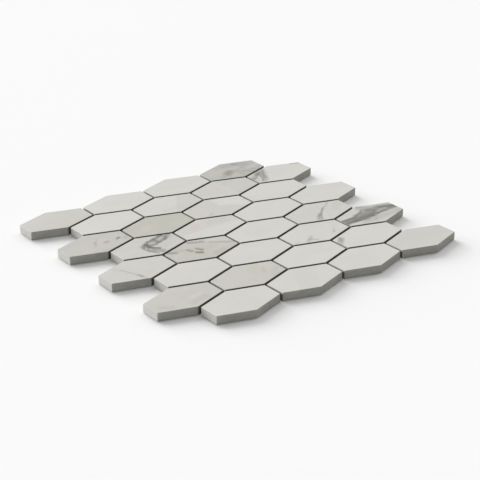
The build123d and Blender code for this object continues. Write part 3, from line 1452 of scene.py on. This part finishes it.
@dataclass
class WovenNet:
    """The glass-fibre net: flat yarns along X, each gripped between two yarns along Y at every crossing.

    Attributes:
        pitch: From strand to strand.
        width: Width of a strand.
        columns: Strands along Y.
        lines: Strands along X in one half.
        smooth_angle: The sharpest edge that is shaded smooth.
    """

    pitch: float = 10.0 * MM
    width: float = 1.2 * MM
    columns: int = 25
    lines: int = 13
    smooth_angle: float = math.radians(75)

    def build(self) -> None:
        """Weaves both halves of the net."""
        finishes = {axis: ResinYarn().make(axis) for axis in "XY"}
        for node, side in (("mesh_back_half", 1), ("mesh_front_half", -1)):
            low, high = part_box(node)
            half = self._weave(low, high, side, finishes)
            half.name = half.data.name = node.replace("mesh", "woven_mesh")
            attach(half, BODY)
            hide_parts(node)
            log.info("%s: %d faces", half.name, len(half.data.polygons))

    def _yarn(self, along: str, sides: int, width: float, height: float, middle: float) -> bpy.types.Object:
        """One straight yarn across a single crossing.

        Args:
            along: X or Y.
            sides: Sides of its section.
            width: Its width.
            height: Its height.
            middle: Height of its middle.

        Returns:
            Its object, in edit mode.
        """
        start_piece()
        turn = (0.0, math.radians(90), 0.0) if along == "X" else (math.radians(90), 0.0, 0.0)
        bpy.ops.mesh.primitive_cylinder_add(
            vertices=sides, radius=0.5, depth=1.0, rotation=turn, end_fill_type="NOTHING"
        )
        bpy.ops.object.transform_apply(location=True, rotation=True, scale=True)
        edit_mode(True)
        bpy.ops.mesh.select_all(action="SELECT")
        size = (self.pitch, width, height) if along == "X" else (width, self.pitch, height)
        bpy.ops.transform.resize(value=size)
        bpy.ops.transform.translate(value=(0.0, 0.0, middle))
        return bpy.context.view_layer.objects.active

    @staticmethod
    def _cut_rings(axis: int, places: Iterable[float]) -> None:
        """Cuts rings into the active yarn.

        Args:
            axis: The yarn's axis, 0 for X and 1 for Y.
            places: Where the rings lie along it.
        """
        normal = (1.0, 0.0, 0.0) if axis == 0 else (0.0, 1.0, 0.0)
        for place in places:
            bpy.ops.mesh.select_all(action="SELECT")
            bpy.ops.mesh.bisect(plane_co=tuple(place * part for part in normal), plane_no=normal)

    @staticmethod
    def _bend(axis: int, place: float, move: Triple, squeeze: Triple) -> None:
        """Moves and squeezes one ring of the active yarn.

        Args:
            axis: The yarn's axis, 0 for X and 1 for Y.
            place: Where the ring lies along it.
            move: How far it moves.
            squeeze: Its scale.
        """
        slack = 0.01 * MM
        pick("VERT", lambda vertex: abs(vertex.co[axis] - place) < slack)
        bpy.ops.transform.resize(value=squeeze)
        bpy.ops.transform.translate(value=move)

    def _crossing(self, thickness: float, finishes: dict[str, bpy.types.Material]) -> bpy.types.Object:
        """One crossing of the weave.

        Args:
            thickness: The net's whole thickness.
            finishes: The yarns' materials, by the axis that they run along.

        Returns:
            Its object.
        """
        middle = thickness / 2
        thin = thickness * 0.16
        stay = (0.0, 0.0, 0.0)
        weft = self._yarn("X", sides=8, width=self.width * 0.9, height=thin * 1.3, middle=middle)
        self._cut_rings(0, (-self.width, 0.0, self.width))
        # Gripped at the crossing, and a little wider beside it
        self._bend(0, 0.0, stay, (1.0, 0.82, 0.8))
        for place in (-self.width, self.width):
            self._bend(0, place, stay, (1.0, 1.05, 1.0))
        warps = []
        far, near = self.width * 1.7, self.width * 0.75
        apart, drawn_in, over_weft = self.width * 0.25, self.width * 0.14, self.width * 0.22
        for side in (1, -1):
            edit_mode(False)
            yarn = self._yarn("Y", sides=6, width=self.width * 0.48, height=thin * 1.6, middle=middle)
            bpy.ops.transform.translate(value=(side * apart, 0.0, 0.0))
            rise = side * (middle - thin * 0.55)
            self._cut_rings(1, (-far, -near, 0.0, near, far))
            # On its way over or under the weft, and flattened where it lies on it
            for place in (-near, near):
                self._bend(1, place, (-side * drawn_in, 0.0, rise * 0.7), (1.05, 1.0, 0.8))
            self._bend(1, 0.0, (-side * over_weft, 0.0, rise), (1.2, 1.0, 0.62))
            yarn.data.materials.append(finishes["Y"])
            warps.append(yarn)
        edit_mode(False)
        weft.data.materials.append(finishes["X"])
        start_piece()
        for piece in (*warps, weft):
            piece.select_set(True)
        bpy.context.view_layer.objects.active = weft
        bpy.ops.object.join()
        return weft

    def _weave(
        self, low: Vector, high: Vector, side: int, finishes: dict[str, bpy.types.Material]
    ) -> bpy.types.Object:
        """Repeats the crossing over one half of the net and cuts its edges.

        Args:
            low: The half's lowest corner.
            high: Its highest corner.
            side: 1 for the half towards +Y, -1 for the other.
            finishes: The yarns' materials, by the axis that they run along.

        Returns:
            The half's object.
        """
        net = self._crossing(high.z - low.z, finishes)
        edit_mode(True)
        bpy.ops.mesh.select_all(action="SELECT")
        first = (-(self.columns - 1) / 2 * self.pitch, side * self.pitch / 2, low.z)
        bpy.ops.transform.translate(value=first)
        edit_mode(False)
        for axis, count, step in ((0, self.columns, self.pitch), (1, self.lines, side * self.pitch)):
            bpy.ops.object.modifier_add(type="ARRAY")
            array = net.modifiers[-1]
            array.count = count
            array.use_relative_offset = False
            array.use_constant_offset = True
            array.constant_offset_displace = tuple(step if i == axis else 0.0 for i in range(3))
            bpy.ops.object.modifier_apply(modifier=array.name)
        edit_mode(True)
        bpy.ops.mesh.select_all(action="SELECT")
        bpy.ops.mesh.remove_doubles(threshold=0.001 * MM)
        self._cut_end(1, side * self.lines * self.pitch, (high.y if side > 0 else low.y))
        for end, edge in ((-self.columns / 2 * self.pitch, low.x), (self.columns / 2 * self.pitch, high.x)):
            self._cut_end(0, end, edge)
        bpy.ops.mesh.select_all(action="SELECT")
        bpy.ops.mesh.fill_holes(sides=8)
        bpy.ops.mesh.select_all(action="SELECT")
        bpy.ops.mesh.normals_make_consistent(inside=False)
        edit_mode(False)
        bpy.ops.object.shade_smooth_by_angle(angle=self.smooth_angle)
        return net

    @staticmethod
    def _cut_end(axis: int, end: float, edge: float) -> None:
        """Runs the yarns on from the last crossing to the net's cut edge.

        Args:
            axis: 0 for X and 1 for Y.
            end: Where the yarns end so far.
            edge: Where the net is cut.
        """
        slack = 0.01 * MM
        pick("VERT", lambda vertex: abs(vertex.co[axis] - end) < slack)
        bpy.ops.mesh.select_mode(type="EDGE")
        move = tuple(edge - end if i == axis else 0.0 for i in range(3))
        bpy.ops.mesh.extrude_region_move(TRANSFORM_OT_translate={"value": move})


def towards(bearing: float, height: float) -> Vector:
    """The direction at a bearing, counted from +Y towards +X, and a height above the floor.

    Args:
        bearing: The bearing in degrees.
        height: The height in degrees.

    Returns:
        The direction, one metre long.
    """
    turn, rise = math.radians(bearing), math.radians(height)
    return Vector((math.sin(turn) * math.cos(rise), math.cos(turn) * math.cos(rise), math.sin(rise)))


@dataclass(frozen=True)
class SoftLamp:
    """A far-off lamp with a wide face.

    Attributes:
        name: Its name.
        bearing: Where it stands, in degrees from +Y towards +X.
        height: Its height above the floor in degrees.
        strength: Its strength.
        spread: The angle that its face fills, in degrees.
    """

    name: str
    bearing: float
    height: float
    strength: float
    spread: float

    def hang(self) -> None:
        """Sets up the lamp."""
        lamp = bpy.data.lights.new(self.name, "SUN")
        lamp.energy = self.strength
        lamp.angle = math.radians(self.spread)
        holder = bpy.data.objects.new(self.name, lamp)
        bpy.context.scene.collection.objects.link(holder)
        holder.rotation_mode = "QUATERNION"
        holder.rotation_quaternion = towards(self.bearing, self.height).to_track_quat("Z", "Y")


LAMPS = (
    SoftLamp("rear_low", 0.0, 12.0, 0.77, 22.0),
    SoftLamp("rear_left", -32.0, 13.0, 1.03, 26.0),
    SoftLamp("rear_high", 2.0, 31.0, 1.90, 38.0),
    SoftLamp("right_fill", 72.0, 40.0, 0.78, 60.0),
    SoftLamp("left_fill", -100.0, 12.0, 0.20, 40.0),
)


@dataclass
class Studio:
    """A pale floor, large soft lamps behind and beside the sheet, an even sky and the camera.

    Attributes:
        aim: Where the camera looks, in metres.
        azimuth: Where the camera stands, in degrees from -Y towards +X.
        elevation: Its height above the horizon in degrees.
        roll: Its roll in degrees.
        distance: Its distance from the aim.
        focal_pixels: Its focal length, in pixels of its picture.
        picture_pixels: The picture's width in pixels.
        film_width: The film's width in millimetres, which Blender's lens settings take.
        clip: The least and the greatest distance that the camera sees.
        lamps: The lamps.
        sky_strength: The sky's strength.
        floor_size: Length of the floor's sides.
        floor_colour: The floor's colour.
        floor_roughness: Its roughness.
        floor_shine: The level of its specular reflection.
    """

    aim: Triple = (-14.201 * MM, -24.740 * MM, 9.0 * MM)
    azimuth: float = -37.785
    elevation: float = 24.371
    roll: float = -0.016
    distance: float = 1.3479
    focal_pixels: float = 1370.16
    picture_pixels: float = 480.0
    film_width: float = 36.0
    clip: tuple[float, float] = (0.05, 60.0)
    lamps: tuple[SoftLamp, ...] = LAMPS
    sky_strength: float = 0.385
    floor_size: float = 12.0
    floor_colour: Colour = (0.955, 0.955, 0.955)
    floor_roughness: float = 0.9
    floor_shine: float = 0.1

    def build(self) -> None:
        """Sets up the studio."""
        self._floor()
        self._lights()
        self._camera()
        bpy.context.scene.view_settings.view_transform = "Standard"
        log.info("studio: ready")

    def _floor(self) -> None:
        """A plain pale floor."""
        start_piece()
        bpy.ops.mesh.primitive_plane_add(size=self.floor_size)
        floor = bpy.context.view_layer.objects.active
        floor.name = "floor"
        paper = FinishBench("floor_paper")
        paper.feed(paper.shader, "Base Color", self.floor_colour)
        paper.feed(paper.shader, "Roughness", self.floor_roughness)
        paper.feed(paper.shader, "Specular IOR Level", self.floor_shine)
        floor.data.materials.append(paper.material)

    def _lights(self) -> None:
        """The lamps and the sky."""
        for lamp in self.lamps:
            lamp.hang()
        world = bpy.data.worlds.new("studio_sky")
        world.use_nodes = True
        sky = world.node_tree.nodes["Background"]
        sky.inputs["Color"].default_value = (1.0, 1.0, 1.0, 1.0)
        sky.inputs["Strength"].default_value = self.sky_strength
        bpy.context.scene.world = world

    def _camera(self) -> None:
        """The camera, at the photograph's place."""
        lens = bpy.data.cameras.new("camera")
        lens.sensor_width = self.film_width
        lens.lens = self.focal_pixels / self.picture_pixels * self.film_width
        lens.clip_start, lens.clip_end = self.clip
        camera = bpy.data.objects.new("camera", lens)
        bpy.context.scene.collection.objects.link(camera)
        back = towards(180.0 - self.azimuth, self.elevation)
        camera.location = Vector(self.aim) + back * self.distance
        camera.rotation_mode = "QUATERNION"
        level = (-back).to_track_quat("-Z", "Y")
        camera.rotation_quaternion = level @ Quaternion((0.0, 0.0, 1.0), math.radians(self.roll))
        bpy.context.scene.camera = camera


def main() -> None:
    """Builds the studio, the chips and the net, in that order."""
    logging.basicConfig(level=logging.INFO, format="%(name)s %(message)s")
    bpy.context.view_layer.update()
    Studio().build()
    net = WovenNet()
    ChipField().build(net.pitch)
    net.build()


if __name__ == "__main__":
    main()
